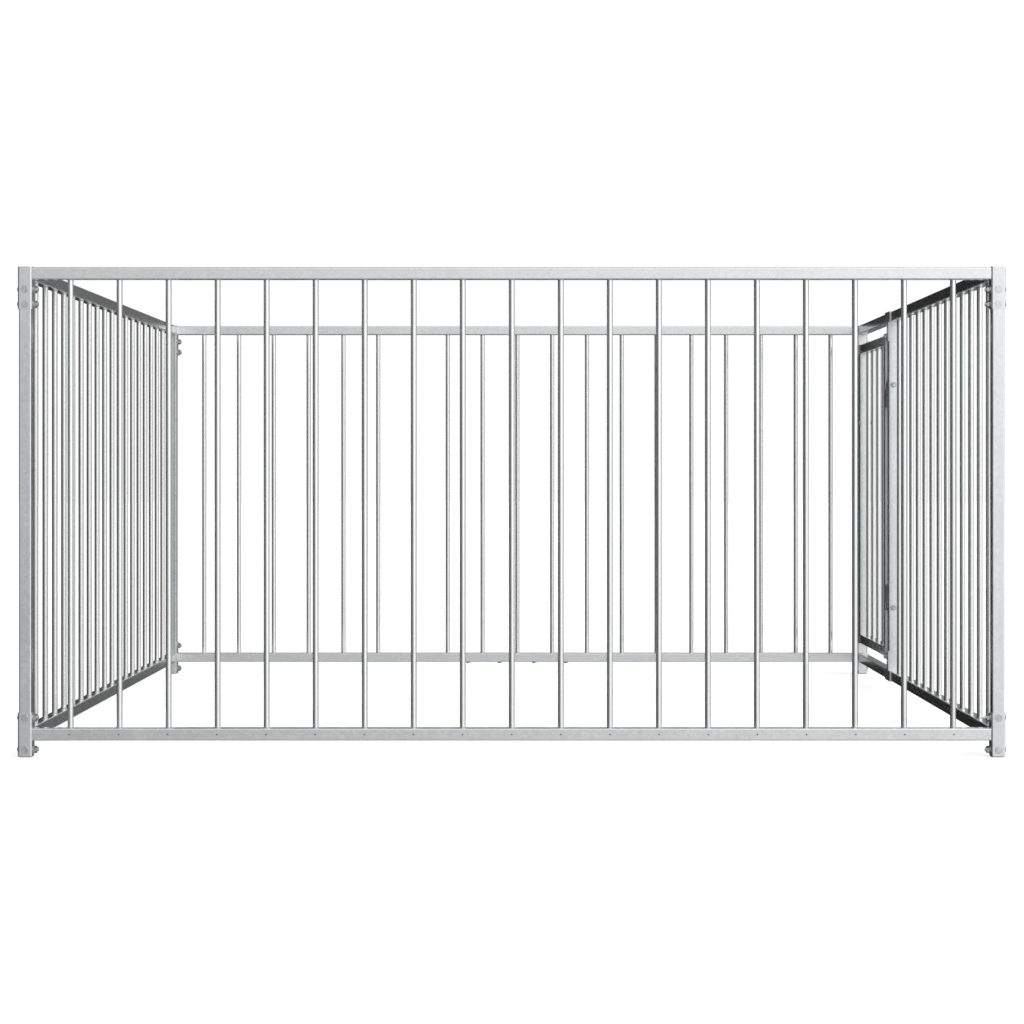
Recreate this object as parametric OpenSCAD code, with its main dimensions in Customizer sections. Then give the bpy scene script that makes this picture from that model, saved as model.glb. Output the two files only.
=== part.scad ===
// Free-standing four-sided dog run of galvanised square tube and round bars.
// One side holds a hinged door. The top and the floor are open.
// Millimetres. +Z is up, the front faces -Y, the door is in the +X side.
// The origin is on the floor, at the middle of the enclosure.

/* [Enclosure] */
// Overall width across the corner posts
width = 2000; // [1400:10:3000]
// Overall depth across the corner posts
depth = 2000; // [1400:10:3000]
// Height of the top of the rails above the floor
height = 995; // [700:5:1500]
// Gap between the floor and the bottom rails
floor_gap = 34; // [31:1:80]

/* [Tube and bars] */
// Side of the square tube
tube = 25; // [20:1:40]
// Wall of the square tube
tube_wall = 1.5; // [1:0.1:2.5]
// Outer corner radius of the square tube
tube_r = 2.5; // [1:0.1:4]
// Diameter of the upright bars
bar_d = 12; // [8:0.5:16]
// Wall of the upright bars
bar_wall = 1.2; // [0.8:0.1:3]
// Spacing of the bars, centre to centre
bar_pitch = 99.7; // [60:0.1:130]
// Least distance from an outer corner to the first bar
bar_edge = 100; // [60:1:150]
// Least clear gap between the last fixed bar and the hinge post
bar_clear = 50; // [30:1:90]
// Diameter of the drain holes in the front and rear bottom rails
drain_d = 3; // [2:0.5:5]

/* [Corner brackets] */
// Sheet thickness of the brackets
sheet = 2; // [1.5:0.5:4]
// Outer bend radius of the corner brackets
bend_r = 3.5; // [3:0.5:6]
// Height of a top bracket
top_bracket_h = 86; // [76:1:120]
// Height of a foot bracket
foot_bracket_h = 88; // [80:1:120]
// Cut corner at the free ends of the bracket flanges
bracket_cut = 7; // [4:1:10]
// Distance from the top rails down to the first bolt
bolt_drop = 20; // [14:1:24]
// Distance from the bottom rails up to the nearest bolt
bolt_rise = 21; // [14:1:22]
// Height of the lowest bolts above the floor
low_bolt = 15; // [13:1:20]
// Spacing of the two bolts in a top bracket
bolt_step = 30; // [20:1:36]

/* [Fasteners] */
// Diameter of the bracket bolts
bolt_d = 8; // [6:1:10]
// Diameter of a bolt's domed head
bolt_head_d = 16; // [14:0.5:20]
// Height of a bolt's domed head
bolt_head_h = 3.6; // [2.5:0.1:5]
// Hole oversize round a bolt
bolt_play = 0.4; // [0.2:0.1:1]
// Width across the flats of the flange nuts
nut_flats = 13; // [10:0.5:17]
// Height of the flange nuts
nut_h = 7.5; // [5:0.5:10]
// Diameter of the flange of the nuts
nut_flange_d = 17; // [14:0.5:21]
// Bolt end that stands out of its nut
bolt_end = 3; // [1:0.5:8]
// Diameter of the rivet heads on the bracket webs
rivet_head_d = 15; // [10:0.5:18]
// Height of the rivet heads
rivet_head_h = 0.8; // [0.6:0.1:3]
// Bevel round the rim of the rivet heads
rivet_bevel = 0.4; // [0.2:0.1:0.5]
// Diameter of the dish in the rivet heads
rivet_dish_d = 7; // [5:0.5:8]
// Depth of the dish in the rivet heads
rivet_dish = 0.4; // [0.2:0.1:0.5]
// Diameter of the rivet shanks
rivet_d = 4.8; // [4:0.1:6]

/* [Door] */
// Width of the door
door_w = 502; // [382:5:702]
// Gap between the door and each of the rails above and below it
door_gap = 31; // [15:1:60]
// Gap between the door and the rear corner post
latch_gap = 9; // [6:0.5:12]
// Gap between the door and the hinge post
hinge_gap = 44; // [36:1:60]
// Number of bars in the door
door_bars = 4; // [2:1:7]
// Length of the saddles that join the side rails over the hinge post
saddle_len = 85; // [60:1:110]
// Distance from a side rail to the end of a saddle's stem
stem_h = 50; // [40:1:70]
// Distance from the end of a stem to its bolt
stem_bolt = 13; // [11:1:20]

/* [Hinges] */
// Height of each hinge eye above or below the door's middle
hinge_spread = 291.5; // [200:0.5:320]
// Diameter of the hinge pins
pin_d = 12; // [8:0.5:14]
// Radial running clearance between a pin and its eye
pin_play = 0.08; // [0.04:0.01:0.1]
// Outer diameter of the hinge eyes
eye_d = 25; // [22:0.5:25]
// Height of the hinge eyes
eye_h = 18; // [18:0.5:24]
// Height of the pin blocks on the door
block_h = 49; // [30:0.5:60]
// Running gap between an eye and its pin block
eye_gap = 0.5; // [0.2:0.1:1]
// Length of a pin that stands out of its eye
pin_end = 5; // [2:0.5:10]
// Diameter of the shanks of the eye bolts
shank_d = 8; // [6:0.5:10]
// Width across the flats of the hinge nuts
hinge_flats = 13; // [12:0.5:17]
// Height of the hinge nuts
hinge_nut_h = 6.5; // [5:0.5:8]

/* [Latch] */
// Height of the latch pivot above the floor
latch_z = 717; // [450:1:780]
// Width of the latch arm
arm_w = 25; // [20:0.5:30]
// Thickness of the latch arm
arm_t = 4; // [3:0.5:6]
// Distance from the pivot to the end of the arm's bolt side
arm_reach = 44; // [40:0.5:44]
// Distance from the pivot to the bend in the arm's handle side
arm_tail = 60; // [40:1:100]
// Length of the bent grip, measured out from the arm's back
grip_out = 18; // [12:1:24]
// Diameter of the latch pivot
pivot_d = 8; // [6:0.5:10]
// Radial running clearance of the arm on its pivot
pivot_play = 0.08; // [0.04:0.01:0.1]
// Running gap on each side of the arm
arm_gap = 0.3; // [0.2:0.05:0.5]
// Thickness of the washer behind the arm
latch_washer_t = 1.6; // [1:0.1:3]
// Outer diameter of the washer behind the arm
latch_washer_d = 22; // [17:0.5:24]
// Diameter of the pivot's threaded end
thread_d = 6; // [4:0.5:6]
// Width across the flats of the latch nut
latch_flats = 10; // [9:0.5:13]
// Height of the latch nut
latch_nut_h = 6; // [4:0.5:8]
// Thickness of the keeper
keeper_t = 3; // [2:0.5:4]
// Height of the keeper's lip above its shelf
keeper_lip = 21; // [15:1:26]
// Gap between the latched arm and the keeper's lip
keeper_gap = 2; // [1:0.5:4]

/* [Plugs and screws] */
// Thickness of the plug heads in the tops of the posts
cap_t = 1; // [0.5:0.5:4]
// Thickness of the plug heads in the feet of the posts
foot_t = 2; // [1:0.5:6]
// Depth of the plug spigots inside the posts
plug_depth = 12; // [8:1:20]
// Clearance round the plug spigots
plug_play = 0.2; // [0.1:0.05:0.4]
// Distance of the inner rail screws from the middle of the rear rail
screw_in = 49; // [30:1:90]
// Distance of the outer rail screws from the middle of the rear rail
screw_out = 140; // [110:1:200]
// Height of the heads of the rail screws
screw_head_h = 4; // [3:0.5:6]
// Length of the rail screws inside the rail
screw_len = 14; // [8:1:18]

/* [Hidden] */

$fn = 48;
eps = 0.01;

// Diameter a nut's bore has over its bolt
thread_play = 0.04;
// Rim and slope of a flange nut's flange
flange_rim = 1.4;
flange_slope = 1.2;
// Length of a rivet's shank inside the post
rivet_end = 1;
// Depth of an eye bolt's shank in its eye
shank_bite = 3;
// Length of the latch pivot beyond its nut
pivot_end = 2;
// Gap between the latched arm and the keeper's shelf
arm_rest = 1.5;
// Gap between a foot spigot and the lowest bolt
plug_clear = 3;

steel = [0.76, 0.77, 0.78];
dark_steel = [0.58, 0.59, 0.60];
zinc = [0.66, 0.67, 0.68];
plastic = [0.22, 0.23, 0.24];

half = tube / 2;
post_x = width / 2 - half;
post_y = depth / 2 - half;
bottom_z = floor_gap + half;
top_z = height - half;
low_face = floor_gap + tube;
high_face = height - tube;
bar_len = high_face - low_face;
bar_mid = (high_face + low_face) / 2;
front_rail_len = width - 2 * (tube + sheet);
side_rail_len = depth - 2 * tube;

// Bars sit at one pitch, the same on facing panels, and are centred in the panel.
function bar_places(span) =
    let (last = floor((span - 2 * bar_edge) / bar_pitch))
    [for (k = [0 : last]) (k - last / 2) * bar_pitch];
width_bars = bar_places(width);
depth_bars = bar_places(depth);

door_rear = post_y - half - latch_gap;
door_front = door_rear - door_w;
hinge_post_y = door_front - hinge_gap - half;
door_h = bar_len - 2 * door_gap;
fixed_bars = [for (y = depth_bars) if (y + bar_d / 2 + bar_clear <= hinge_post_y - half) y];

top_bolts = [high_face - bolt_drop, high_face - bolt_drop - bolt_step];
foot_bolts = [low_face + bolt_rise, low_bolt];
bracket_x = half + sheet;
saddle_bolt_z = [high_face - stem_h + stem_bolt, low_face + stem_h - stem_bolt];

hinge_y = door_front - hinge_gap / 2;
hinge_z = [bar_mid + hinge_spread, bar_mid - hinge_spread];
latch_y = door_rear - half;
arm_back = width / 2 + latch_washer_t + arm_gap;
arm_front = arm_back + arm_t;
keeper_back = arm_front + keeper_gap;
keeper_top = latch_z - arm_w / 2 - arm_rest;

/* ---- shared shapes ---- */

module rounded_square(side, r) {
    square([side, side - 2 * r], center = true);
    square([side - 2 * r, side], center = true);
    for (x = [-1, 1], y = [-1, 1])
        translate([x * (side / 2 - r), y * (side / 2 - r)])
            circle(r = r);
}

// A length of square tube, upright and centred.
module square_tube(len) {
    linear_extrude(height = len, center = true)
        difference() {
            rounded_square(tube, tube_r);
            rounded_square(tube - 2 * tube_wall, max(tube_r - tube_wall, 0.5));
        }
}

module tube_x(len) rotate([0, 90, 0]) square_tube(len);
module tube_y(len) rotate([90, 0, 0]) square_tube(len);

module bar(len) {
    difference() {
        cylinder(d = bar_d, h = len, center = true);
        cylinder(d = bar_d - 2 * bar_wall, h = len + 1, center = true);
    }
}

// Centred on the origin along X, for a hole through two walls.
module hole_x(d, len) rotate([0, 90, 0]) cylinder(d = d, h = len, center = true);
module hole_y(d, len) rotate([90, 0, 0]) cylinder(d = d, h = len, center = true);

module corners() {
    for (x = [-1, 1], y = [-1, 1])
        translate([x * post_x, y * post_y, 0])
            children();
}

// A domed head, standing on the XY plane.
module dome(d, h) {
    sphere_r = (d * d / 4 + h * h) / (2 * h);
    rotate_extrude()
        intersection() {
            translate([0, h - sphere_r]) circle(r = sphere_r, $fn = 160);
            square([d / 2, h]);
        }
}

/* ---- corner posts ---- */

// side_y is -1 for a front post and +1 for a rear post.
module corner_post(side_x, side_y) {
    color(steel)
        translate([side_x * post_x, side_y * post_y, 0])
            difference() {
                translate([0, 0, (height + foot_t) / 2]) square_tube(height - foot_t);
                for (z = concat(top_bolts, foot_bolts)) {
                    translate([0, 0, z]) hole_x(bolt_d + bolt_play, tube + 1);
                    translate([0, side_y * half, z]) hole_y(rivet_d + bolt_play / 2, 2 * tube_wall + 1);
                }
            }
}

// A flat head with a spigot above it.
module plug(head_t, spigot) {
    linear_extrude(height = head_t) rounded_square(tube, tube_r);
    translate([0, 0, head_t - eps])
        linear_extrude(height = spigot + eps)
            rounded_square(tube - 2 * tube_wall - 2 * plug_play, max(tube_r - tube_wall, 0.5));
}

module post_caps() {
    color(zinc)
        corners()
            translate([0, 0, height + cap_t]) mirror([0, 0, 1]) plug(cap_t, plug_depth);
}

// The foot spigots stop short of the lowest bolts.
module post_feet() {
    color(plastic)
        corners()
            plug(foot_t, low_bolt - bolt_d / 2 - foot_t - plug_clear);
}

/* ---- front and rear panels ---- */

module cross_rail(side_y, z) {
    translate([0, side_y * post_y, z]) tube_x(front_rail_len);
}

// A bottom rail, with a drain hole below every bar in its outer wall.
module drained_rail(side_y) {
    difference() {
        cross_rail(side_y, bottom_z);
        for (x = width_bars)
            translate([x, side_y * depth / 2, bottom_z]) hole_y(drain_d, 2 * tube_wall + 1);
    }
}

module cross_bars(side_y) {
    for (x = width_bars)
        translate([x, side_y * post_y, bar_mid]) bar(bar_len);
}

module front_top_rail() color(steel) cross_rail(-1, top_z);
module front_bottom_rail() color(steel) drained_rail(-1);
module front_bars() color(steel) cross_bars(-1);
module rear_top_rail() color(steel) cross_rail(1, top_z);
module rear_bars() color(steel) cross_bars(1);

module rear_bottom_rail() {
    color(steel)
        difference() {
            drained_rail(1);
            screw_places() cylinder(d = bolt_d + bolt_play, h = 2 * tube_wall + 1, center = true);
        }
}

// The four screws stand under the rear bottom rail.
module screw_places() {
    for (x = [-screw_out, -screw_in, screw_in, screw_out])
        translate([x, post_y, floor_gap])
            children();
}

module rail_screws() {
    color(zinc)
        screw_places() {
            cylinder(d = bolt_d, h = screw_len);
            mirror([0, 0, 1])
                rotate([0, 0, 30]) cylinder(d = nut_flats / cos(30), h = screw_head_h, $fn = 6);
        }
}

/* ---- side panels ---- */

module side_rail(side_x, z, from, to) {
    translate([side_x * post_x, (from + to) / 2, z]) tube_y(to - from);
}

module left_top_rail() color(steel) side_rail(-1, top_z, -side_rail_len / 2, side_rail_len / 2);
module left_bottom_rail() color(steel) side_rail(-1, bottom_z, -side_rail_len / 2, side_rail_len / 2);
module right_top_rail() color(steel) side_rail(1, top_z, -side_rail_len / 2, hinge_post_y);
module right_bottom_rail() color(steel) side_rail(1, bottom_z, -side_rail_len / 2, hinge_post_y);
module lintel_rail() color(steel) side_rail(1, top_z, hinge_post_y, side_rail_len / 2);
module sill_rail() color(steel) side_rail(1, bottom_z, hinge_post_y, side_rail_len / 2);

module side_bars(side_x, places) {
    for (y = places)
        translate([side_x * post_x, y, bar_mid]) bar(bar_len);
}

module left_bars() color(steel) side_bars(-1, depth_bars);
module right_bars() color(steel) side_bars(1, fixed_bars);

/* ---- corner brackets ---- */

// The channel's section: a web outside the post and a flange on each side of it.
module channel_section() {
    difference() {
        union() {
            translate([-bracket_x, -half - sheet + bend_r]) square([2 * bracket_x, tube + sheet - bend_r]);
            translate([-bracket_x + bend_r, -half - sheet]) square([2 * (bracket_x - bend_r), bend_r + eps]);
            for (x = [-1, 1])
                translate([x * (bracket_x - bend_r), -half - sheet + bend_r]) circle(r = bend_r);
        }
        translate([-half, -half]) square([tube, tube + 1]);
    }
}

// A channel from z = low to z = high, with the free corners of its flanges cut off.
module bracket(low, high, bolts) {
    difference() {
        translate([0, 0, low]) linear_extrude(height = high - low) channel_section();
        for (z = [low, high])
            translate([0, half, z])
                rotate([45, 0, 0])
                    cube([tube + 2 * sheet + 2, bracket_cut * sqrt(2), bracket_cut * sqrt(2)], center = true);
        for (z = bolts) {
            translate([0, 0, z]) hole_x(bolt_d + bolt_play, tube + 2 * sheet + 2);
            translate([0, -half - sheet / 2, z]) hole_y(rivet_d + bolt_play / 2, sheet + 2);
        }
    }
}

// Brackets are drawn for the front and turned half round for the rear.
module at_corner(side_x, side_y) {
    translate([side_x * post_x, side_y * post_y, 0])
        rotate([0, 0, side_y > 0 ? 180 : 0])
            children();
}

module top_bracket(side_x, side_y) {
    color(zinc) at_corner(side_x, side_y) bracket(height + cap_t - top_bracket_h, height + cap_t, top_bolts);
}

module foot_bracket(side_x, side_y) {
    color(zinc) at_corner(side_x, side_y) bracket(foot_t, foot_t + foot_bracket_h, foot_bolts);
}

module flange_nut(bore) {
    difference() {
        union() {
            cylinder(d = nut_flange_d, h = flange_rim);
            translate([0, 0, flange_rim - eps]) cylinder(d1 = nut_flange_d, d2 = nut_flats, h = flange_slope);
            cylinder(d = nut_flats / cos(30), h = nut_h, $fn = 6);
        }
        translate([0, 0, -1]) cylinder(d = bore + thread_play, h = nut_h + 2);
    }
}

// The bolt runs along +X from its head at x = 0, through "grip" of material.
module bracket_bolt(grip) {
    rotate([0, 90, 0]) {
        mirror([0, 0, 1]) dome(bolt_head_d, bolt_head_h);
        translate([0, 0, -eps]) cylinder(d = bolt_d, h = grip + nut_h + bolt_end + eps);
    }
}

// Every bolt's head is outside the enclosure and its nut is inside.
module bolt_places(side_x) {
    for (side_y = [-1, 1], z = concat(top_bolts, foot_bolts))
        translate([side_x * post_x, side_y * post_y, z])
            rotate([0, 0, side_x > 0 ? 180 : 0])
                children();
}

module bracket_bolts() {
    color(zinc)
        for (side_x = [-1, 1])
            bolt_places(side_x)
                translate([-bracket_x, 0, 0]) bracket_bolt(2 * bracket_x);
}

module bracket_nuts() {
    color(dark_steel)
        for (side_x = [-1, 1])
            bolt_places(side_x)
                translate([bracket_x, 0, 0]) rotate([0, 90, 0]) flange_nut(bolt_d);
}

// A flat head with a bevelled rim and a shallow dish, over a shank that ends inside the post.
module rivet() {
    rim = rivet_head_h - rivet_bevel;
    difference() {
        union() {
            cylinder(d = rivet_head_d, h = rim);
            translate([0, 0, rim - eps])
                cylinder(d1 = rivet_head_d, d2 = rivet_head_d - 2 * rivet_bevel, h = rivet_bevel + eps);
            mirror([0, 0, 1]) cylinder(d = rivet_d, h = sheet + tube_wall + rivet_end);
        }
        translate([0, 0, rivet_head_h - rivet_dish]) cylinder(d = rivet_dish_d, h = rivet_dish + 1);
    }
}

module bracket_rivets() {
    color(zinc)
        for (side_x = [-1, 1], side_y = [-1, 1], z = concat(top_bolts, foot_bolts))
            at_corner(side_x, side_y)
                translate([0, -half - sheet, z]) rotate([90, 0, 0]) rivet();
}

/* ---- hinge post and the saddles that join the side rails over it ---- */

module hinge_post() {
    color(steel)
        difference() {
            translate([post_x, hinge_post_y, bar_mid]) square_tube(bar_len);
            for (z = saddle_bolt_z)
                translate([post_x, hinge_post_y, z]) hole_x(bolt_d + bolt_play, tube + 1);
            for (z = hinge_z)
                translate([post_x, hinge_post_y, z]) hole_y(shank_d + bolt_play, tube + 1);
        }
}

// Drawn for the top, with the rail's lower face at z = 0 and the stem below it.
module saddle(bolt_depth) {
    difference() {
        union() {
            translate([-bracket_x, -saddle_len / 2, -eps])
                cube([2 * bracket_x, saddle_len, tube + sheet + eps]);
            translate([-bracket_x, -half - sheet, -stem_h])
                cube([2 * bracket_x, tube + sheet, stem_h]);
        }
        translate([-half, -saddle_len / 2 - 1, -stem_h - 1])
            cube([tube, saddle_len / 2 + 1 - half - sheet, stem_h + 1 + tube]);
        translate([-half, -half - sheet - 1, 0])
            cube([tube, saddle_len, tube]);
        translate([-half, -half, -stem_h - 1])
            cube([tube, saddle_len, stem_h + 1 + tube]);
        translate([0, 0, -bolt_depth]) hole_x(bolt_d + bolt_play, tube + 2 * sheet + 2);
    }
}

module top_saddle() {
    color(zinc)
        translate([post_x, hinge_post_y, high_face]) saddle(stem_h - stem_bolt);
}

module bottom_saddle() {
    color(zinc)
        translate([post_x, hinge_post_y, low_face]) mirror([0, 0, 1]) saddle(stem_h - stem_bolt);
}

module saddle_places() {
    for (z = saddle_bolt_z)
        translate([post_x, hinge_post_y, z])
            rotate([0, 0, 180])
                children();
}

module saddle_bolts() {
    color(zinc)
        saddle_places() translate([-bracket_x, 0, 0]) bracket_bolt(2 * bracket_x);
}

module saddle_nuts() {
    color(dark_steel)
        saddle_places() translate([bracket_x, 0, 0]) rotate([0, 90, 0]) flange_nut(bolt_d);
}

/* ---- hinges ---- */

// An eye on a threaded shank that goes through the hinge post.
module hinge_eye(z) {
    root = eye_d / 2 - shank_bite;
    shank_len = hinge_gap / 2 - root + tube + hinge_nut_h + bolt_end;
    translate([post_x, hinge_y, z])
        difference() {
            union() {
                cylinder(d = eye_d, h = eye_h, center = true);
                translate([0, -root, 0]) rotate([90, 0, 0]) cylinder(d = shank_d, h = shank_len);
            }
            cylinder(d = pin_d + 2 * pin_play, h = eye_h + 1, center = true);
        }
}

module upper_hinge_eye() color(zinc) hinge_eye(hinge_z[0]);
module lower_hinge_eye() color(zinc) hinge_eye(hinge_z[1]);

module hinge_nut() {
    rotate([90, 0, 0])
        difference() {
            rotate([0, 0, 30]) cylinder(d = hinge_flats / cos(30), h = hinge_nut_h, $fn = 6);
            translate([0, 0, -1]) cylinder(d = shank_d + thread_play, h = hinge_nut_h + 2);
        }
}

module hinge_nuts() {
    color(dark_steel)
        for (z = hinge_z)
            translate([post_x, hinge_post_y, z]) {
                translate([0, -half, 0]) hinge_nut();
                translate([0, half + hinge_nut_h, 0]) hinge_nut();
            }
}

// A block on the door's stile with a pin that stands up through the eye above it.
module hinge_pin() {
    base = -eye_h / 2 - eye_gap - block_h;
    translate([0, 0, base]) {
        cylinder(d = tube, h = block_h);
        translate([-half, 0, 0]) cube([tube, hinge_gap / 2, block_h]);
        cylinder(d = pin_d, h = block_h + eye_gap + eye_h + pin_end);
    }
}

// The lower pin is turned down, so the door can't be lifted off.
module upper_hinge_pin() {
    color(steel)
        translate([post_x, hinge_y, hinge_z[0]]) hinge_pin();
}

module lower_hinge_pin() {
    color(steel)
        translate([post_x, hinge_y, hinge_z[1]]) mirror([0, 0, 1]) hinge_pin();
}

/* ---- door ---- */

module door_stile(y) {
    translate([post_x, y, bar_mid]) square_tube(door_h);
}

module door_rail(side_z) {
    translate([post_x, (door_front + door_rear) / 2, bar_mid + side_z * (door_h / 2 - half)])
        tube_y(door_w - 2 * tube);
}

module door_hinge_stile() color(steel) door_stile(door_front + half);

module door_latch_stile() {
    color(steel)
        difference() {
            door_stile(latch_y);
            translate([post_x, latch_y, latch_z]) hole_x(pivot_d + bolt_play, tube + 1);
        }
}

module door_top_rail() color(steel) door_rail(1);
module door_bottom_rail() color(steel) door_rail(-1);

module door_bars() {
    step = (door_w - tube) / (door_bars + 1);
    color(steel)
        for (k = [1 : door_bars])
            translate([post_x, door_front + half + k * step, bar_mid]) bar(door_h - 2 * tube);
}

/* ---- latch ---- */

module at_pivot(x) {
    translate([x, latch_y, latch_z]) rotate([0, 90, 0]) children();
}

// A domed head inside the door, a shoulder for the arm and a thinner threaded end.
module latch_pivot() {
    shoulder = arm_front + arm_gap - (width / 2 - tube);
    color(zinc)
        at_pivot(width / 2 - tube) {
            mirror([0, 0, 1]) dome(bolt_head_d, bolt_head_h);
            translate([0, 0, -eps]) cylinder(d = pivot_d, h = shoulder + eps);
            cylinder(d = thread_d, h = shoulder + latch_nut_h + pivot_end);
        }
}

module latch_washer() {
    color(zinc)
        at_pivot(width / 2)
            difference() {
                cylinder(d = latch_washer_d, h = latch_washer_t);
                translate([0, 0, -1]) cylinder(d = pivot_d + bolt_play, h = latch_washer_t + 2);
            }
}

module latch_nut() {
    color(dark_steel)
        at_pivot(arm_front + arm_gap)
            difference() {
                cylinder(d = latch_flats / cos(30), h = latch_nut_h, $fn = 6);
                translate([0, 0, -1]) cylinder(d = thread_d + thread_play, h = latch_nut_h + 2);
            }
}

// A flat bar with a round end and a bent grip, drawn upright and unlatched.
// It turns a quarter towards +Y to rest in the keeper.
module latch_arm() {
    color(steel)
        difference() {
            union() {
                translate([arm_back, latch_y - arm_w / 2, latch_z - arm_tail])
                    cube([arm_t, arm_w, arm_tail + arm_reach - arm_w / 2]);
                translate([arm_back, latch_y, latch_z + arm_reach - arm_w / 2])
                    rotate([0, 90, 0]) cylinder(d = arm_w, h = arm_t);
                translate([arm_back, latch_y - arm_w / 2, latch_z - arm_tail])
                    cube([grip_out, arm_w, arm_t]);
            }
            translate([arm_back - 1, latch_y, latch_z])
                rotate([0, 90, 0]) cylinder(d = pivot_d + 2 * pivot_play, h = arm_t + 2);
        }
}

// A shelf and a lip welded to the rear post. The arm drops in from above.
module latch_keeper() {
    from = depth / 2 - tube + tube_r;
    across = tube - 2 * tube_r;
    color(zinc) {
        translate([width / 2, from, keeper_top - keeper_t])
            cube([keeper_back - width / 2 + keeper_t, across, keeper_t]);
        translate([keeper_back, from, keeper_top - eps])
            cube([keeper_t, across, keeper_lip + eps]);
    }
}

corner_post(-1, -1);  // left_front_post
corner_post(-1, 1);  // left_rear_post
corner_post(1, -1);  // right_front_post
corner_post(1, 1);  // right_rear_post
front_top_rail();
front_bottom_rail();
front_bars();
rear_top_rail();
rear_bottom_rail();
rear_bars();
left_top_rail();
left_bottom_rail();
left_bars();
right_top_rail();
right_bottom_rail();
right_bars();
lintel_rail();
sill_rail();
hinge_post();
top_saddle();
bottom_saddle();
top_bracket(-1, -1);  // left_front_top_bracket
top_bracket(-1, 1);  // left_rear_top_bracket
top_bracket(1, -1);  // right_front_top_bracket
top_bracket(1, 1);  // right_rear_top_bracket
foot_bracket(-1, -1);  // left_front_foot_bracket
foot_bracket(-1, 1);  // left_rear_foot_bracket
foot_bracket(1, -1);  // right_front_foot_bracket
foot_bracket(1, 1);  // right_rear_foot_bracket
bracket_bolts();
bracket_nuts();
bracket_rivets();
saddle_bolts();
saddle_nuts();
post_caps();
post_feet();
rail_screws();
upper_hinge_eye();
lower_hinge_eye();
hinge_nuts();
latch_keeper();
door_hinge_stile();
door_latch_stile();
door_top_rail();
door_bottom_rail();
door_bars();
upper_hinge_pin();
lower_hinge_pin();
latch_pivot();
latch_washer();
latch_nut();
latch_arm();
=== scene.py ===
"""Looks of a galvanised dog run: its finishes, its weld beads and threads, and a pale studio."""

import math

import bmesh
import bpy
import numpy as np
from bpy.props import FloatProperty, FloatVectorProperty, IntProperty, PointerProperty
from mathutils import Matrix, Vector


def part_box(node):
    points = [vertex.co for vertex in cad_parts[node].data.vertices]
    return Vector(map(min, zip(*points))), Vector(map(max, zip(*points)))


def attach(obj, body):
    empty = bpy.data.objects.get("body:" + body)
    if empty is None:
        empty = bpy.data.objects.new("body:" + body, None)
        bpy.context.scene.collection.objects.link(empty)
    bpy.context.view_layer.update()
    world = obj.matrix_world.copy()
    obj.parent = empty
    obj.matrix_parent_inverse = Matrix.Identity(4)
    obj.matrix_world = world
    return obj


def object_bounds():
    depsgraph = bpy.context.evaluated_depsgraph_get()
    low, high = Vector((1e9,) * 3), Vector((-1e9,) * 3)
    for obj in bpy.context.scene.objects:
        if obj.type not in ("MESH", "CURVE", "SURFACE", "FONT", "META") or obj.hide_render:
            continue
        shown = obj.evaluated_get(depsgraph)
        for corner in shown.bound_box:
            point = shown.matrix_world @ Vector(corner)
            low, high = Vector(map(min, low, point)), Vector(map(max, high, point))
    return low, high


bl_info = {
    "name": "Dog Run Looks",
    "version": (1, 0, 0),
    "blender": (4, 2, 0),
    "location": "View3D > Sidebar > Dog Run",
    "description": "Galvanised finishes, weld beads, threads and a studio for a barred dog run",
    "category": "Object",
}

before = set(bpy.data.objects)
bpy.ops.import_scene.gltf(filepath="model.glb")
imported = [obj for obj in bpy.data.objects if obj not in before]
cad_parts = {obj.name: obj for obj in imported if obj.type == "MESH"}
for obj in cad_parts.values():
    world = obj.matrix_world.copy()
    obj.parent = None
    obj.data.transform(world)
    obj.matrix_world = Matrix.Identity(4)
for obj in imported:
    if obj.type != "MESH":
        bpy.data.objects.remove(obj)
cad_low, cad_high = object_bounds()

MM = 0.001
CORNER = 3 * MM          # the tube's rounded corner, kept clear of weld beads
BOLT_RADIUS = 4 * MM     # bracket bolts, saddle bolts and eye bolts
BOLT_OUT = 3 * MM        # bolt end beyond its nut
PIVOT_RADIUS = 3 * MM    # threaded end of the latch pivot
PIVOT_OUT = 2 * MM       # pivot end beyond its nut
PIN_ABOVE = 23.5 * MM    # hinge pin beyond its block
TUBES = (
    "left_front_post", "left_rear_post", "right_front_post", "right_rear_post",
    "front_top_rail", "front_bottom_rail", "rear_top_rail", "rear_bottom_rail",
    "left_top_rail", "left_bottom_rail", "right_top_rail", "right_bottom_rail",
    "lintel_rail", "sill_rail", "hinge_post",
    "door_hinge_stile", "door_latch_stile", "door_top_rail", "door_bottom_rail",
)
BARS = {
    "front_bars": "pen", "rear_bars": "pen", "left_bars": "pen", "right_bars": "pen",
    "door_bars": "door",
}
PLATES = (
    "left_front_top_bracket", "left_rear_top_bracket",
    "right_front_top_bracket", "right_rear_top_bracket",
    "left_front_foot_bracket", "left_rear_foot_bracket",
    "right_front_foot_bracket", "right_rear_foot_bracket",
    "top_saddle", "bottom_saddle", "latch_keeper", "latch_arm", "upper_hinge_pin", "lower_hinge_pin",
)
FASTENERS = (
    "bracket_bolts", "bracket_rivets", "saddle_bolts", "rail_screws", "latch_pivot", "latch_washer",
    "upper_hinge_eye", "lower_hinge_eye", "post_caps",
)
NUTS = ("bracket_nuts", "saddle_nuts", "hinge_nuts", "latch_nut")


# ---------------------------------------------------------------- settings

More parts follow.
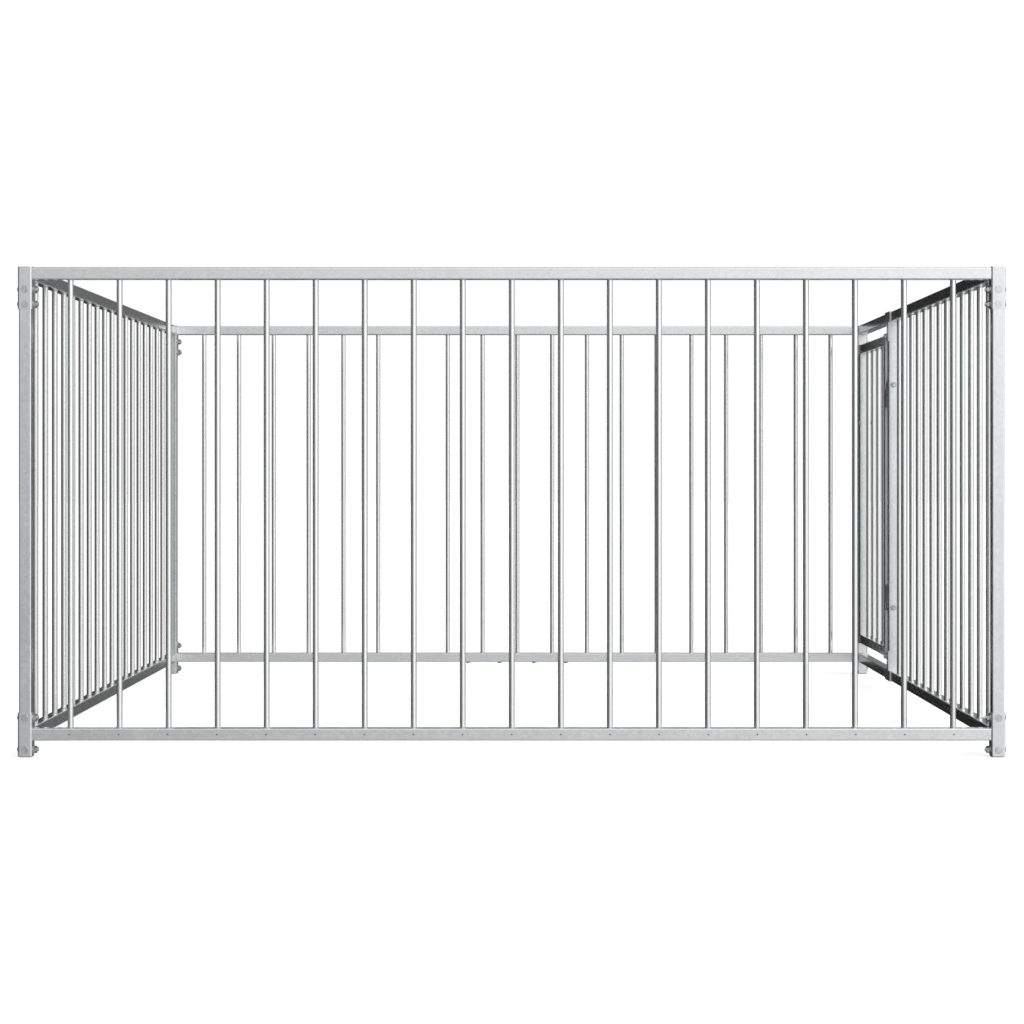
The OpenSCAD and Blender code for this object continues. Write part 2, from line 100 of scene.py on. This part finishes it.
class FinishSettings(bpy.types.PropertyGroup):
    """Colours and surface of the metal and the plastic"""

    zinc: FloatVectorProperty(
        name="Zinc", description="Colour of the galvanised tube", subtype="COLOR",
        default=(0.83, 0.84, 0.85), min=0, max=1)
    zinc_rough: FloatProperty(
        name="Zinc roughness", description="Roughness of the galvanised tube", subtype="FACTOR",
        default=0.24, min=0.05, max=1)
    bar: FloatVectorProperty(
        name="Bars", description="Colour of the upright bars", subtype="COLOR",
        default=(0.94, 0.945, 0.95), min=0, max=1)
    plate: FloatVectorProperty(
        name="Plate", description="Colour of the brackets and plates", subtype="COLOR",
        default=(0.80, 0.81, 0.82), min=0, max=1)
    plate_rough: FloatProperty(
        name="Plate roughness", description="Roughness of the brackets and plates", subtype="FACTOR",
        default=0.30, min=0.05, max=1)
    fastener: FloatVectorProperty(
        name="Fastener", description="Colour of the bolts and rivets", subtype="COLOR",
        default=(0.74, 0.75, 0.76), min=0, max=1)
    nut: FloatVectorProperty(
        name="Nut", description="Colour of the nuts", subtype="COLOR",
        default=(0.52, 0.53, 0.54), min=0, max=1)
    plastic: FloatVectorProperty(
        name="Foot plastic", description="Colour of the plugs in the feet", subtype="COLOR",
        default=(0.16, 0.165, 0.17), min=0, max=1)
    spangle: FloatProperty(
        name="Spangle", description="Size of the zinc crystals", subtype="DISTANCE", unit="LENGTH",
        default=7 * MM, min=1 * MM, max=40 * MM)


class WeldSettings(bpy.types.PropertyGroup):
    """Sizes of the weld beads and threads"""

    bar_leg: FloatProperty(
        name="Bar bead", description="Size of the weld bead round the end of a bar",
        subtype="DISTANCE", unit="LENGTH", default=0.9 * MM, min=0.5 * MM, max=3 * MM)
    run_leg: FloatProperty(
        name="Tube bead", description="Size of the straight weld beads on the tube",
        subtype="DISTANCE", unit="LENGTH", default=1.2 * MM, min=0.5 * MM, max=3 * MM)
    run_steps: IntProperty(
        name="Ripples", description="Ripples along a straight weld bead", default=9, min=3, max=20)
    thread_pitch: FloatProperty(
        name="Thread pitch", description="Spacing of the thread ridges",
        subtype="DISTANCE", unit="LENGTH", default=1.0 * MM, min=0.5 * MM, max=2 * MM)


class StudioSettings(bpy.types.PropertyGroup):
    """Floor, light and camera"""

    floor: FloatVectorProperty(
        name="Floor", description="Colour of the floor", subtype="COLOR",
        default=(0.98, 0.98, 0.98), min=0, max=1)
    distance: FloatProperty(
        name="Camera distance", description="Distance of the camera from the front of the enclosure",
        subtype="DISTANCE", unit="LENGTH", default=4.817, min=2, max=12)
    aside: FloatProperty(
        name="Camera aside", description="Distance of the camera to the right of the middle",
        subtype="DISTANCE", unit="LENGTH", default=0.0395, min=-2, max=2)
    eye: FloatProperty(
        name="Camera height", description="Height of the camera above the floor",
        subtype="DISTANCE", unit="LENGTH", default=0.5833, min=0.1, max=4)
    lens: FloatProperty(
        name="Lens", description="Focal length of the camera in millimetres",
        default=83.48, min=20, max=200)
    ambient: FloatProperty(
        name="Ambient", description="Light from above and below", default=0.36, min=0, max=2)
    front: FloatProperty(
        name="Front light", description="Light from the front and the right", default=1.1, min=0, max=4)
    lamp: FloatProperty(
        name="Lamp", description="Power of the lamp above the front right, in watts", default=25, min=0, max=500)
    floor_glow: FloatProperty(
        name="Floor glow", description="Light that the floor gives off", default=0.62, min=0, max=2)


# ---------------------------------------------------------------- shader expressions

class Wire:
    """A socket of a node tree. Arithmetic on it adds Math nodes."""

    def __init__(self, tree, socket=None):
        self.tree = tree
        self.socket = socket

    def node(self, kind, settings=None, values=None, out=0):
        """Adds a node: its settings first, then the values or links of its sockets."""
        made = self.tree.nodes.new(kind)
        for key, value in (settings or {}).items():
            setattr(made, key, value)
        for key, value in (values or {}).items():
            self.feed(made.inputs[key], value)
        return Wire(self.tree, made.outputs[out])

    def feed(self, socket, value):
        if isinstance(value, Wire):
            self.tree.links.new(value.socket, socket)
        else:
            socket.default_value = value

    def math(self, operation, *values, clamp=False):
        settings = {"operation": operation, "use_clamp": clamp}
        return self.node("ShaderNodeMath", settings, dict(enumerate(values)))

    def __add__(self, other):
        return self.math("ADD", self, other)

    def __sub__(self, other):
        return self.math("SUBTRACT", self, other)

    def __rsub__(self, other):
        return self.math("SUBTRACT", other, self)

    def __mul__(self, other):
        return self.math("MULTIPLY", self, other)

    def __pow__(self, other):
        return self.math("POWER", self, other)

    __radd__ = __add__
    __rmul__ = __mul__

    def clamped(self):
        return self.math("ADD", self, 0.0, clamp=True)

    def math_abs(self):
        return self.math("ABSOLUTE", self)

    def along(self, direction):
        """The dot product of this vector with a direction."""
        return self.node("ShaderNodeVectorMath", {"operation": "DOT_PRODUCT"},
                         {0: self, 1: Vector(direction).normalized()}, out="Value")


def new_material(name):
    """A material with a Principled shader, and a Wire for its tree."""
    made = bpy.data.materials.new(name)
    made.use_nodes = True
    return made, made.node_tree.nodes["Principled BSDF"], Wire(made.node_tree)


def noise(wire, place, scale, detail=3.0):
    """Even noise from 0 to 1; scale is in waves per metre."""
    values = {"Vector": place, "Scale": scale, "Detail": detail}
    return wire.node("ShaderNodeTexNoise", values=values, out="Fac")


def blend_colour(wire, factor, low, high):
    """A colour between low and high."""
    mixer = wire.node("ShaderNodeMix", {"data_type": "RGBA", "clamp_factor": True}, {0: factor}, out=2)
    node = mixer.socket.node
    node.inputs[6].default_value = (*low, 1)
    node.inputs[7].default_value = (*high, 1)
    return mixer


def zinc_coat(name, colour, rough, spangle, contrast=0.07):
    """Galvanised steel: crystals, cloudy patches, fine grain and a soft sheen."""
    made, shader, wire = new_material(name)
    place = wire.node("ShaderNodeTexCoord", out="Object")
    crystals = wire.node("ShaderNodeTexVoronoi", {"feature": "F1"},
                         {"Vector": place, "Scale": 1 / spangle, "Randomness": 1.0}, out="Color")
    flake = wire.node("ShaderNodeSeparateColor", values={"Color": crystals}, out="Red")
    cloud = noise(wire, place, 9.0, 4.0)
    upright = wire.node("ShaderNodeMapping", values={"Vector": place, "Scale": (60, 60, 7)})
    drip = noise(wire, upright, 1.0)
    fine = noise(wire, place, 1400.0, 2.0)
    patch = (0.5 + (flake - 0.5) * 0.55 + (cloud - 0.5) * 1.1 + (drip - 0.5) * 0.5).clamped()
    dark = [c * (1 - contrast) for c in colour]
    light = [min(1.0, c * (1 + contrast * 0.6)) for c in colour]
    wire.feed(shader.inputs["Base Color"], blend_colour(wire, patch, dark, light))
    wire.feed(shader.inputs["Roughness"],
              rough + (flake - 0.5) * 0.03 + (cloud - 0.5) * 0.06 + (fine - 0.5) * 0.03)
    shader.inputs["Metallic"].default_value = 0.93
    height = fine * 0.5 + drip * 0.3 + flake * 0.08
    wire.feed(shader.inputs["Normal"], wire.node(
        "ShaderNodeBump", values={"Strength": 0.05, "Distance": 0.1 * MM, "Height": height}))
    return made


def weld_metal(name, colour):
    """Zinc over a weld: duller, with small grey scorch patches."""
    made, shader, wire = new_material(name)
    place = wire.node("ShaderNodeTexCoord", out="Object")
    scorch = noise(wire, place, 320.0, 4.0)
    fine = noise(wire, place, 1800.0, 2.0)
    dark = [c * 0.62 for c in colour]
    clean = ((scorch - 0.35) * 2.4).clamped()
    wire.feed(shader.inputs["Base Color"], blend_colour(wire, clean, dark, colour))
    wire.feed(shader.inputs["Roughness"], 0.38 + (scorch - 0.5) * 0.25)
    shader.inputs["Metallic"].default_value = 1.0
    wire.feed(shader.inputs["Normal"], wire.node(
        "ShaderNodeBump", values={"Strength": 0.3, "Distance": 0.2 * MM, "Height": scorch + fine * 0.4}))
    return made


def plated(name, colour, rough):
    """Electroplated zinc: bright, with faint turning marks and handling wear."""
    made, shader, wire = new_material(name)
    place = wire.node("ShaderNodeTexCoord", out="Object")
    wear = noise(wire, place, 90.0, 5.0)
    fine = noise(wire, place, 2200.0, 2.0)
    dark = [c * 0.72 for c in colour]
    light = [min(1.0, c * 1.12) for c in colour]
    worn = ((wear - 0.3) * 2.0).clamped()
    wire.feed(shader.inputs["Base Color"], blend_colour(wire, worn, dark, light))
    wire.feed(shader.inputs["Roughness"], rough + (wear - 0.5) * 0.2)
    shader.inputs["Metallic"].default_value = 1.0
    wire.feed(shader.inputs["Normal"], wire.node(
        "ShaderNodeBump", values={"Strength": 0.12, "Distance": 0.1 * MM, "Height": fine}))
    return made


def moulded(name, colour):
    """Matt moulded plastic with a fine stipple, scuffed paler where it meets the ground."""
    made, shader, wire = new_material(name)
    place = wire.node("ShaderNodeTexCoord", out="Object")
    stipple = noise(wire, place, 1500.0, 2.0)
    scuff = noise(wire, place, 70.0, 5.0)
    light = [min(1.0, c * 1.7 + 0.03) for c in colour]
    scuffed = ((scuff - 0.45) * 2.2).clamped()
    wire.feed(shader.inputs["Base Color"], blend_colour(wire, scuffed, colour, light))
    wire.feed(shader.inputs["Roughness"], 0.55 + (scuff - 0.5) * 0.3)
    wire.feed(shader.inputs["Normal"], wire.node(
        "ShaderNodeBump", values={"Strength": 0.3, "Distance": 0.15 * MM, "Height": stipple}))
    return made


# ---------------------------------------------------------------- places and meshes

def finish_nodes(nodes, material):
    """Gives CAD nodes a material."""
    for node in nodes:
        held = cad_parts[node].data.materials
        held.clear()
        held.append(material)


def islands(node, gaps):
    """The boxes of a node's separate solids: it is split where it is empty for more than the gaps."""
    groups = [np.array([v.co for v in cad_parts[node].data.vertices])]
    for axis, gap in enumerate(gaps):
        split = []
        for group in groups:
            order = group[np.argsort(group[:, axis])]
            split += np.split(order, np.where(np.diff(order[:, axis]) > gap)[0] + 1)
        groups = split
    return [(Vector(group.min(0)), Vector(group.max(0))) for group in groups]


def start(add, **settings):
    """Adds a primitive with nothing else selected and returns its object."""
    bpy.ops.object.select_all(action="DESELECT")
    add(**settings)
    return bpy.context.object


class Edit:
    """Edit mode on one object; pick selects its vertices by a test of their place."""

    def __init__(self, piece):
        self.piece = piece

    def __enter__(self):
        bpy.ops.object.mode_set(mode="EDIT")
        bpy.ops.mesh.select_mode(type="VERT")
        return self

    def pick(self, test):
        mesh = bmesh.from_edit_mesh(self.piece.data)
        for vert in mesh.verts:
            vert.select_set(bool(test(vert.co)))
        mesh.select_flush_mode()
        bmesh.update_edit_mesh(self.piece.data)

    def __exit__(self, *error):
        bpy.ops.object.mode_set(mode="OBJECT")


def close(piece):
    """Merges doubles and turns the faces outwards."""
    with Edit(piece) as edit:
        edit.pick(lambda place: True)
        bpy.ops.mesh.remove_doubles(threshold=1e-6)
        bpy.ops.mesh.normals_make_consistent(inside=False)


def ring_bead(radius, leg):
    """A rippled fillet weld round a bar, with the rail's face at z = 0."""
    segments = 16
    bead = start(bpy.ops.mesh.primitive_torus_add, major_segments=segments, minor_segments=4,
                 major_radius=radius, minor_radius=leg)
    step = 2 * math.pi / segments
    lean = (radius - leg * 0.1) / radius
    with Edit(bead) as edit:
        edit.pick(lambda p: p.z > leg / 2)
        bpy.ops.transform.resize(value=(lean, lean, 1.25), center_override=(0, 0, 0))
        edit.pick(lambda p: round(math.atan2(p.y, p.x) / step) % 2 == 0 and p.xy.length > radius - leg / 2)
        bpy.ops.transform.resize(value=(1.035, 1.035, 0.86), center_override=(0, 0, 0))
    close(bead)
    return bead


def straight_bead(length, leg, steps):
    """A rippled weld run along +Z from the origin, tapered at both ends."""
    run = start(bpy.ops.mesh.primitive_circle_add, vertices=6, radius=leg * 0.5, fill_type="NGON")
    lift = length / (steps + 1)
    with Edit(run) as edit:
        edit.pick(lambda place: True)
        for k in range(steps + 1):
            bpy.ops.mesh.extrude_region_move(TRANSFORM_OT_translate={"value": (0, 0, lift)})
            size = 2.0 if k == 0 else 0.5 if k == steps else 1.18 if k % 2 else 1 / 1.18
            bpy.ops.transform.resize(value=(size, size, 1), center_override=(0, 0, lift * (k + 1)))
    close(run)
    return run


def thread_end(radius, length, pitch):
    """Thread ridges that stand a little proud of a plain bolt end, along +Z from the origin."""
    crest = radius + 0.14 * MM
    root = radius - 0.2 * MM
    ridges = start(bpy.ops.mesh.primitive_circle_add, vertices=16, radius=root, fill_type="NGON")
    half_pitch = pitch / 2
    count = max(2, 2 * int(length / pitch))
    with Edit(ridges) as edit:
        edit.pick(lambda place: True)
        for k in range(count):
            bpy.ops.mesh.extrude_region_move(TRANSFORM_OT_translate={"value": (0, 0, half_pitch)})
            size = crest / root if k % 2 == 0 else root / crest
            bpy.ops.transform.resize(value=(size, size, 1), center_override=(0, 0, half_pitch * (k + 1)))
    close(ridges)
    return ridges


def spread(template, places, name, material, body):
    """Copies a template to the places, each copy with its own mesh, and joins them as one piece."""
    copies = []
    for place in places:
        copy = template.copy()
        copy.data = template.data.copy()
        copy.data.transform(place)
        bpy.context.scene.collection.objects.link(copy)
        copies.append(copy)
    bpy.ops.object.select_all(action="DESELECT")
    for copy in copies:
        copy.select_set(True)
    bpy.context.view_layer.objects.active = copies[0]
    bpy.ops.object.join()
    piece = bpy.context.object
    piece.name = name
    piece.data.name = name
    piece.data.materials.clear()
    piece.data.materials.append(material)
    bpy.ops.object.shade_smooth_by_angle(angle=math.radians(50))
    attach(piece, body)
    return piece


def discard(template):
    bpy.data.objects.remove(template, do_unlink=True)


def facing(direction, at):
    """A matrix that turns +Z to a direction and moves the origin to a point."""
    turn = Vector(direction).to_track_quat("Z", "Y").to_matrix().to_4x4()
    return Matrix.Translation(at) @ turn


def collar(low, high, axis, end, inset):
    """The four straight edges round a tube's end, as (start, end) points. axis is the tube's own."""
    first, second = [k for k in range(3) if k != axis]
    found = []
    for across, fixed in ((first, second), (second, first)):
        for side in (low, high):
            a, b = Vector(low), Vector(high)
            a[axis] = b[axis] = end
            a[fixed] = b[fixed] = side[fixed]
            a[across] += inset
            b[across] -= inset
            found.append((a, b))
    return found


# ---------------------------------------------------------------- operators

class RUN_OT_metal(bpy.types.Operator):
    """Gives the tubes, bars, plates and fasteners their finishes"""

    bl_idname = "dogrun.metal"
    bl_label = "Finish the metal"

    def execute(self, context):
        look = context.scene.run_finish
        tube = zinc_coat("galvanised_tube", look.zinc, look.zinc_rough, look.spangle)
        bar = zinc_coat("galvanised_bar", look.bar, look.zinc_rough * 0.85,
                        look.spangle * 0.7, contrast=0.04)
        plate = zinc_coat("galvanised_plate", look.plate, look.plate_rough,
                          look.spangle * 0.6, contrast=0.08)
        finish_nodes(TUBES, tube)
        finish_nodes(BARS, bar)
        finish_nodes(PLATES, plate)
        finish_nodes(FASTENERS, plated("bright_zinc_plate", look.fastener, 0.27))
        finish_nodes(NUTS, plated("dull_zinc_plate", look.nut, 0.36))
        return {"FINISHED"}


class RUN_OT_feet(bpy.types.Operator):
    """Gives the plugs in the feet their plastic"""

    bl_idname = "dogrun.feet"
    bl_label = "Finish the feet"

    def execute(self, context):
        finish_nodes(["post_feet"], moulded("foot_plastic", context.scene.run_finish.plastic))
        return {"FINISHED"}


class RUN_OT_bar_welds(bpy.types.Operator):
    """Lays a weld bead round both ends of every bar"""

    bl_idname = "dogrun.bar_welds"
    bl_label = "Weld the bars"

    def execute(self, context):
        sizes = context.scene.run_welds
        material = weld_metal("weld_metal", context.scene.run_finish.zinc)
        for node, body in BARS.items():
            bars = islands(node, (0.03, 0.03, 2.0))
            radius = (bars[0][1].x - bars[0][0].x) / 2
            template = ring_bead(radius + sizes.bar_leg * 0.35, sizes.bar_leg)
            flip = Matrix.Rotation(math.pi, 4, "X")
            places = []
            for low, high in bars:
                middle = (low + high) / 2
                places.append(Matrix.Translation((middle.x, middle.y, low.z)))
                places.append(Matrix.Translation((middle.x, middle.y, high.z)) @ flip)
            spread(template, places, node.replace("bars", "bar_welds"), material, body)
            discard(template)
        return {"FINISHED"}


class RUN_OT_tube_welds(bpy.types.Operator):
    """Lays straight weld beads where the tubes, the hinge blocks and the keeper are joined"""

    bl_idname = "dogrun.tube_welds"
    bl_label = "Weld the tubes"

    def execute(self, context):
        sizes = context.scene.run_welds
        material = bpy.data.materials["weld_metal"]
        self.lay("side_rail_welds", "pen", material, sizes, [
            edge for node in ("left_top_rail", "left_bottom_rail")
            for end in (0, 1)
            for edge in self.tube_end(node, 1, end)
        ] + [
            edge for node, end in (("right_top_rail", 0), ("right_bottom_rail", 0),
                                   ("lintel_rail", 1), ("sill_rail", 1))
            for edge in self.tube_end(node, 1, end)
        ])
        self.lay("cross_rail_welds", "pen", material, sizes, [
            edge for node in ("front_top_rail", "front_bottom_rail", "rear_top_rail", "rear_bottom_rail")
            for end in (0, 1)
            for edge in self.tube_end(node, 0, end)
            if self.inside(edge, node)
        ])
        self.lay("door_welds", "door", material, sizes, [
            edge for node in ("door_top_rail", "door_bottom_rail")
            for end in (0, 1)
            for edge in self.tube_end(node, 1, end)
        ])
        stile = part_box("door_hinge_stile")[0].y
        blocks = []
        for node in ("upper_hinge_pin", "lower_hinge_pin"):
            low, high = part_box(node)
            if node.startswith("upper"):
                base, top = low.z, high.z - PIN_ABOVE
            else:
                base, top = low.z + PIN_ABOVE, high.z
            left, right = low.x + CORNER, high.x - CORNER
            for x in (left, right):
                blocks.append((Vector((x, stile, base)), Vector((x, stile, top))))
            for z in (base, top):
                blocks.append((Vector((left, stile, z)), Vector((right, stile, z))))
        self.lay("hinge_block_welds", "door", material, sizes, blocks)
        low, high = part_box("latch_keeper")
        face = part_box("right_rear_post")[1].x
        self.lay("keeper_welds", "pen", material, sizes, [
            (Vector((face, low.y, low.z)), Vector((face, high.y, low.z)))
        ])
        return {"FINISHED"}

    def tube_end(self, node, axis, end):
        """The edges of one end of a tube that runs along the axis: end 0 is its low end, 1 its high end."""
        low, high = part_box(node)
        return collar(low, high, axis, (low, high)[end][axis], CORNER)

    def inside(self, edge, node):
        """Leaves out the edge on the outer face, where the bracket lies flush."""
        outer = cad_low.y if node.startswith("front") else cad_high.y
        middle = (edge[0] + edge[1]) / 2
        near_outer = 12 * MM
        return abs(middle.y - outer) > near_outer

    def lay(self, name, body, material, sizes, edges):
        """Lays a bead on every edge, with one piece for each length of bead."""
        usual = 20 * MM
        lengths = sorted({round((b - a).length, 5) for a, b in edges})
        for k, length in enumerate(lengths):
            steps = max(3, round(sizes.run_steps * length / usual))
            template = straight_bead(length, sizes.run_leg, steps + steps % 2)
            places = [facing(b - a, a) for a, b in edges if round((b - a).length, 5) == length]
            title = name if k == 0 else f"{name}_{k + 1}"
            spread(template, places, title, material, body)
            discard(template)


class RUN_OT_threads(bpy.types.Operator):
    """Cuts thread ridges on the bolt ends that stand out of their nuts"""

    bl_idname = "dogrun.threads"
    bl_label = "Thread the bolts"

    def execute(self, context):
        pitch = context.scene.run_welds.thread_pitch
        material = bpy.data.materials["bright_zinc_plate"]
        template = thread_end(BOLT_RADIUS, BOLT_OUT, pitch)
        places = []
        for node in ("bracket_bolts", "saddle_bolts"):
            for low, high in islands(node, (0.1, 0.1, 0.008)):
                side = 1 if (low.x + high.x) > 0 else -1
                tip = low.x if side > 0 else high.x
                middle = (low + high) / 2
                places.append(facing((-side, 0, 0), (tip + side * BOLT_OUT, middle.y, middle.z)))
        spread(template, places, "bolt_threads", material, "pen")
        discard(template)
        template = thread_end(BOLT_RADIUS, BOLT_OUT, pitch)
        places = []
        for node in ("upper_hinge_eye", "lower_hinge_eye"):
            low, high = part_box(node)
            middle = (low + high) / 2
            places.append(facing((0, -1, 0), (middle.x, low.y + BOLT_OUT, middle.z)))
        spread(template, places, "eye_threads", material, "pen")
        discard(template)
        template = thread_end(PIVOT_RADIUS, PIVOT_OUT, pitch)
        low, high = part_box("latch_pivot")
        middle = (low + high) / 2
        spread(template, [facing((1, 0, 0), (high.x - PIVOT_OUT, middle.y, middle.z))],
               "pivot_thread", material, "door")
        discard(template)
        return {"FINISHED"}


class RUN_OT_studio(bpy.types.Operator):
    """Builds the floor, the backdrop, the light and the camera"""

    bl_idname = "dogrun.studio"
    bl_label = "Build the studio"

    def execute(self, context):
        studio = context.scene.run_studio
        self.surround(studio)
        self.light(context, studio)
        self.camera(context, studio)
        return {"FINISHED"}

    def surround(self, studio):
        floor = start(bpy.ops.mesh.primitive_plane_add, size=80, location=(0, 0, cad_low.z))
        floor.name = "floor"
        made, shader, _ = new_material("pale_floor")
        shader.inputs["Base Color"].default_value = (*studio.floor, 1)
        shader.inputs["Roughness"].default_value = 0.9
        shader.inputs["Emission Color"].default_value = (1, 1, 1, 1)
        shader.inputs["Emission Strength"].default_value = studio.floor_glow
        floor.data.materials.append(made)
        dome = start(bpy.ops.mesh.primitive_uv_sphere_add, segments=48, ring_count=24, radius=38)
        dome.name = "backdrop"
        made, shader, _ = new_material("white_backdrop")
        shader.inputs["Base Color"].default_value = (0, 0, 0, 1)
        shader.inputs["Emission Color"].default_value = (1, 1, 1, 1)
        shader.inputs["Emission Strength"].default_value = 1.0
        dome.data.materials.append(made)
        for surface in (floor, dome):
            surface.visible_diffuse = False
            surface.visible_glossy = False
            surface.visible_shadow = False

    def light(self, context, studio):
        world = bpy.data.worlds.new("studio_light")
        world.use_nodes = True
        context.scene.world = world
        wire = Wire(world.node_tree)
        toward = wire.node("ShaderNodeTexCoord", out="Generated")
        up = toward.along((0, 0, 1))
        # A dark band round the horizon, with soft edges above and below.
        band_half, band_below, band_edge, band_glow = 0.28, 0.04, 7.0, 0.03
        level = ((band_half - (up + band_below).math_abs()) * band_edge).clamped()
        ambient = studio.ambient - level * (studio.ambient - band_glow)
        # A broad light at the front right, brighter higher up, and a fainter one at the right.
        key = self.lobe(toward, (0.574, -0.819, 0.05), 5.0) * (up * 1.3 + 1.0)
        side = self.lobe(toward, (0.95, 0.25, 0.05), 6.0) * 0.36
        # A dark screen at the rear left.
        rear = (toward.along((0, 1, 0)) * 2.0 + 0.5).clamped()
        screen = (0.3 - toward.along((1, 0, 0)) * 3.0).clamped() * rear * 0.9
        glow = (ambient + key * studio.front + side) * (1.0 - screen)
        background = world.node_tree.nodes["Background"]
        background.inputs["Color"].default_value = (1, 1, 1, 1)
        wire.feed(background.inputs["Strength"], glow)
        lamp = bpy.data.lights.new("key_light", "AREA")
        lamp.energy = studio.lamp
        lamp.size = 3.0
        held = bpy.data.objects.new("key_light", lamp)
        context.scene.collection.objects.link(held)
        held.location = (3.6, -4.2, 4.2)
        held.rotation_mode = "QUATERNION"
        held.rotation_quaternion = (Vector((0, 0, 0.4)) - held.location).to_track_quat("-Z", "Y")
        context.scene.view_settings.view_transform = "Standard"

    def lobe(self, toward, centre, power):
        """A soft round light that is 1 at its centre and falls to 0 behind it."""
        return ((toward.along(centre) + 1.0) * 0.5) ** power

    def camera(self, context, studio):
        data = bpy.data.cameras.new("camera")
        data.lens = studio.lens
        data.sensor_width = 36
        data.shift_x = -0.0187
        data.shift_y = -0.0411
        held = bpy.data.objects.new("camera", data)
        context.scene.collection.objects.link(held)
        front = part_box("left_front_post")[0].y
        held.location = (studio.aside, front - studio.distance, studio.eye)
        held.rotation_euler = (math.pi / 2, 0, 0)
        context.scene.camera = held


STEPS = (RUN_OT_metal, RUN_OT_feet, RUN_OT_bar_welds, RUN_OT_tube_welds, RUN_OT_threads, RUN_OT_studio)


class RUN_PT_panel(bpy.types.Panel):
    """Lists the steps that give the dog run its looks"""

    bl_idname = "RUN_PT_panel"
    bl_label = "Dog Run"
    bl_space_type = "VIEW_3D"
    bl_region_type = "UI"
    bl_category = "Dog Run"

    def draw(self, context):
        for group in (context.scene.run_finish, context.scene.run_welds, context.scene.run_studio):
            for key in group.__annotations__:
                self.layout.prop(group, key)
        for step in STEPS:
            self.layout.operator(step.bl_idname)


CLASSES = (FinishSettings, WeldSettings, StudioSettings) + STEPS + (RUN_PT_panel,)


def register():
    for made in CLASSES:
        bpy.utils.register_class(made)
    bpy.types.Scene.run_finish = PointerProperty(type=FinishSettings)
    bpy.types.Scene.run_welds = PointerProperty(type=WeldSettings)
    bpy.types.Scene.run_studio = PointerProperty(type=StudioSettings)


def unregister():
    del bpy.types.Scene.run_studio
    del bpy.types.Scene.run_welds
    del bpy.types.Scene.run_finish
    for made in reversed(CLASSES):
        bpy.utils.unregister_class(made)


def main():
    register()
    bpy.ops.dogrun.metal()
    bpy.ops.dogrun.feet()
    bpy.ops.dogrun.bar_welds()
    bpy.ops.dogrun.tube_welds()
    bpy.ops.dogrun.threads()
    bpy.ops.dogrun.studio()


if __name__ == "__main__":
    main()
